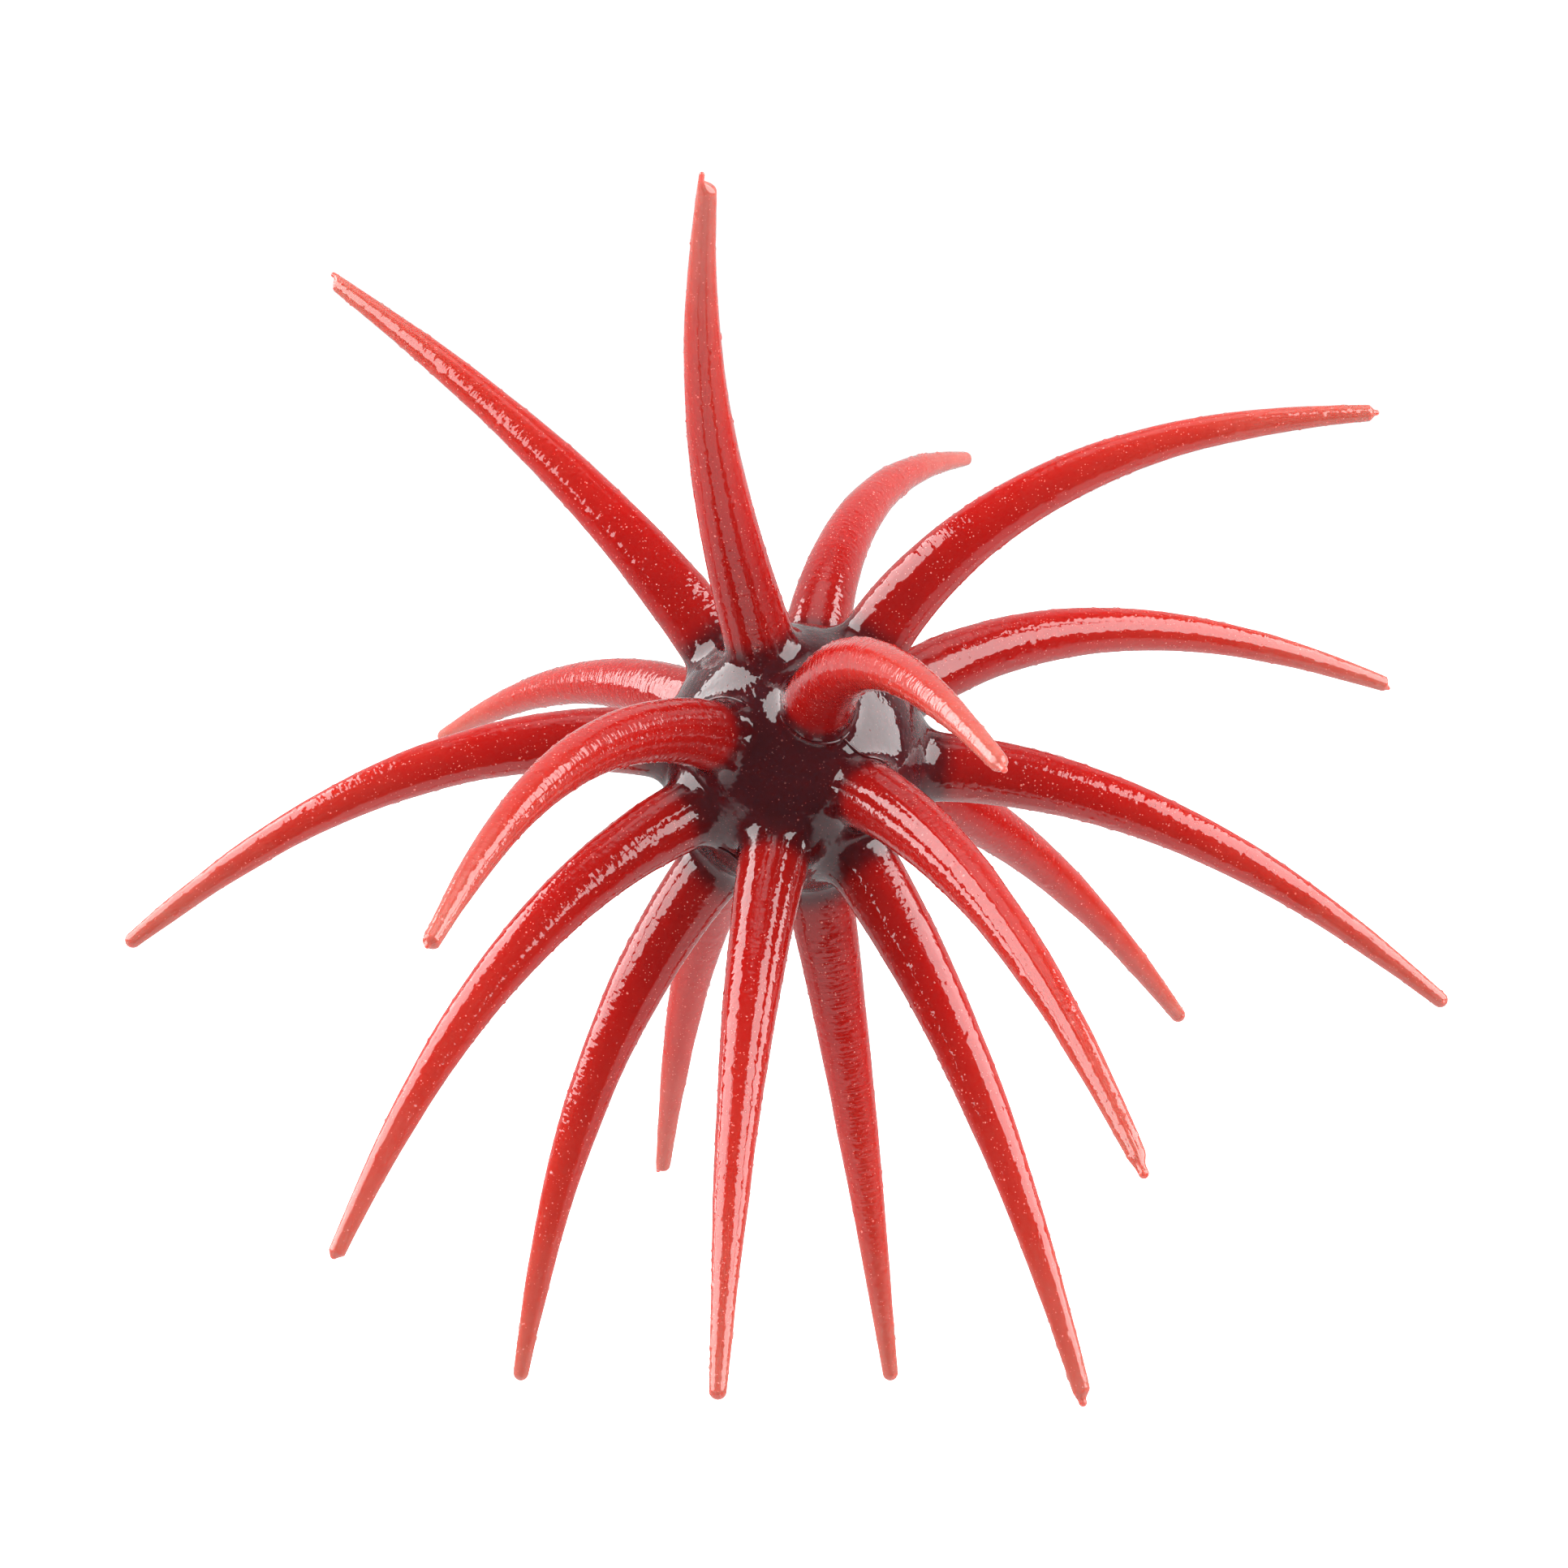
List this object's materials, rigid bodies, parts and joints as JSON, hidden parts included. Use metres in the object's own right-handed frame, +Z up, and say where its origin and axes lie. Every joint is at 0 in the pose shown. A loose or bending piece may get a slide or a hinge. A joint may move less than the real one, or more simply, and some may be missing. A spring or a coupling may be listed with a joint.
{
  "type": "tentacle ball",
  "caption": "Soft translucent red rubber squeeze toy: a solid ball with long tapered drooping tentacles all round it.",
  "frame": {"origin": "centre of the ball, which is where the toy is held", "axes": "+Z up with the toy held by its ball; +X to the right of the front view; +Y to its back"},
  "size_m": [0.1674, 0.1688, 0.1582],
  "materials": {
    "ball_gel": "glossy translucent red gel rubber, dark where it is thick",
    "tentacle_gel": "glossy translucent red gel rubber, paler towards the tips"
  },
  "bodies": {
    "core": {"core": "ball_gel"},
    "tentacle_top_front": {"tentacle_top_front": "tentacle_gel"},
    "tentacle_top_left": {"tentacle_top_left": "tentacle_gel"},
    "tentacle_top_right": {"tentacle_top_right": "tentacle_gel"},
    "tentacle_top_back": {"tentacle_top_back": "tentacle_gel"},
    "tentacle_right_upper": {"tentacle_right_upper": "tentacle_gel"},
    "tentacle_right_lower": {"tentacle_right_lower": "tentacle_gel"},
    "tentacle_front_curl": {"tentacle_front_curl": "tentacle_gel"},
    "tentacle_front_left": {"tentacle_front_left": "tentacle_gel"},
    "tentacle_front_right": {"tentacle_front_right": "tentacle_gel"},
    "tentacle_left_upper": {"tentacle_left_upper": "tentacle_gel"},
    "tentacle_left_lower": {"tentacle_left_lower": "tentacle_gel"},
    "tentacle_back_left": {"tentacle_back_left": "tentacle_gel"},
    "tentacle_back_right": {"tentacle_back_right": "tentacle_gel"},
    "tentacle_back_middle": {"tentacle_back_middle": "tentacle_gel"},
    "tentacle_bottom_front": {"tentacle_bottom_front": "tentacle_gel"},
    "tentacle_bottom_right": {"tentacle_bottom_right": "tentacle_gel"},
    "tentacle_bottom_left": {"tentacle_bottom_left": "tentacle_gel"},
    "tentacle_bottom_back_left": {"tentacle_bottom_back_left": "tentacle_gel"},
    "tentacle_bottom_back": {"tentacle_bottom_back": "tentacle_gel"}
  },
  "joints": [
    {"name": "top_front_swing", "type": "hinge", "parent": "core", "child": "tentacle_top_front", "pos_m": [-0.00462, -0.00833, 0.01586], "axis": [-0.8746, 0.4848, 0], "range_deg": [-25, 30], "stiffness_Nm_per_rad": 0.0016, "springref_deg": 8.68},
    {"name": "top_left_swing", "type": "hinge", "parent": "core", "child": "tentacle_top_left", "pos_m": [-0.01077, 0.00371, 0.01458], "axis": [0.3256, 0.9455, 0], "range_deg": [-25, 30], "stiffness_Nm_per_rad": 0.0016, "springref_deg": 10.79},
    {"name": "top_right_swing", "type": "hinge", "parent": "core", "child": "tentacle_top_right", "pos_m": [0.01033, -0.00054, 0.01534], "axis": [-0.0523, -0.9986, 0], "range_deg": [-25, 30], "stiffness_Nm_per_rad": 0.0016, "springref_deg": 11.76},
    {"name": "top_back_swing", "type": "hinge", "parent": "core", "child": "tentacle_top_back", "pos_m": [0.00245, 0.01261, 0.01331], "axis": [0.9816, -0.1908, 0], "range_deg": [-25, 30], "stiffness_Nm_per_rad": 0.0016, "springref_deg": 12.93},
    {"name": "right_upper_swing", "type": "hinge", "parent": "core", "child": "tentacle_right_upper", "pos_m": [0.01425, 0.00856, 0.00811], "axis": [0.515, -0.8572, 0], "range_deg": [-25, 30], "stiffness_Nm_per_rad": 0.0016, "springref_deg": 14.78},
    {"name": "right_lower_swing", "type": "hinge", "parent": "core", "child": "tentacle_right_lower", "pos_m": [0.01845, -0.00032, -0.00129], "axis": [-0.0175, -0.9998, 0], "range_deg": [-25, 30], "stiffness_Nm_per_rad": 0.0016, "springref_deg": 14.7},
    {"name": "front_curl_swing", "type": "hinge", "parent": "core", "child": "tentacle_front_curl", "pos_m": [0.00289, -0.01638, 0.00811], "axis": [-0.9848, -0.1736, 0], "range_deg": [-25, 30], "stiffness_Nm_per_rad": 0.0016, "springref_deg": 14.84},
    {"name": "front_left_swing", "type": "hinge", "parent": "core", "child": "tentacle_front_left", "pos_m": [-0.01038, -0.01482, 0.00385], "axis": [-0.8192, 0.5736, 0], "range_deg": [-25, 30], "stiffness_Nm_per_rad": 0.0016, "springref_deg": 15.07},
    {"name": "front_right_swing", "type": "hinge", "parent": "core", "child": "tentacle_front_right", "pos_m": [0.00908, -0.01573, -0.00353], "axis": [-0.866, -0.5, 0], "range_deg": [-25, 30], "stiffness_Nm_per_rad": 0.0016, "springref_deg": 14.05},
    {"name": "left_upper_swing", "type": "hinge", "parent": "core", "child": "tentacle_left_upper", "pos_m": [-0.01835, -0.00128, 0.00193], "axis": [-0.0698, 0.9976, 0], "range_deg": [-25, 30], "stiffness_Nm_per_rad": 0.0016, "springref_deg": 14.99},
    {"name": "left_lower_swing", "type": "hinge", "parent": "core", "child": "tentacle_left_lower", "pos_m": [-0.01439, -0.00934, -0.00693], "axis": [-0.5446, 0.8387, 0], "range_deg": [-25, 30], "stiffness_Nm_per_rad": 0.0016, "springref_deg": 12.53},
    {"name": "back_left_swing", "type": "hinge", "parent": "core", "child": "tentacle_back_left", "pos_m": [-0.01055, 0.01452, 0.00448], "axis": [0.809, 0.5878, 0], "range_deg": [-25, 30], "stiffness_Nm_per_rad": 0.0016, "springref_deg": 15.26},
    {"name": "back_right_swing", "type": "hinge", "parent": "core", "child": "tentacle_back_right", "pos_m": [0.01183, 0.0136, -0.00416], "axis": [0.7547, -0.6561, 0], "range_deg": [-25, 30], "stiffness_Nm_per_rad": 0.0016, "springref_deg": 14.04},
    {"name": "back_middle_swing", "type": "hinge", "parent": "core", "child": "tentacle_back_middle", "pos_m": [0.00128, 0.01832, 0.00226], "axis": [0.9976, -0.0698, 0], "range_deg": [-25, 30], "stiffness_Nm_per_rad": 0.0016, "springref_deg": 15.07},
    {"name": "bottom_front_swing", "type": "hinge", "parent": "core", "child": "tentacle_bottom_front", "pos_m": [-0.0027, -0.01391, -0.01189], "axis": [-0.9816, 0.1908, 0], "range_deg": [-20, 30], "stiffness_Nm_per_rad": 0.0016, "springref_deg": 10.27},
    {"name": "bottom_right_swing", "type": "hinge", "parent": "core", "child": "tentacle_bottom_right", "pos_m": [0.00905, -0.00844, -0.01375], "axis": [-0.682, -0.7314, 0], "range_deg": [-20, 30], "stiffness_Nm_per_rad": 0.0016, "springref_deg": 8.9},
    {"name": "bottom_left_swing", "type": "hinge", "parent": "core", "child": "tentacle_bottom_left", "pos_m": [-0.01096, 0.00193, -0.01477], "axis": [0.1736, 0.9848, 0], "range_deg": [-20, 30], "stiffness_Nm_per_rad": 0.0016, "springref_deg": 7.2},
    {"name": "bottom_back_left_swing", "type": "hinge", "parent": "core", "child": "tentacle_bottom_back_left", "pos_m": [-0.00581, 0.01439, -0.01008], "axis": [0.9272, 0.3746, 0], "range_deg": [-20, 30], "stiffness_Nm_per_rad": 0.0016, "springref_deg": 11.43},
    {"name": "bottom_back_swing", "type": "hinge", "parent": "core", "child": "tentacle_bottom_back", "pos_m": [0.00293, 0.00628, -0.01715], "axis": [0.9063, -0.4226, 0], "range_deg": [-20, 30], "stiffness_Nm_per_rad": 0.0016, "springref_deg": 5.19}
  ]
}
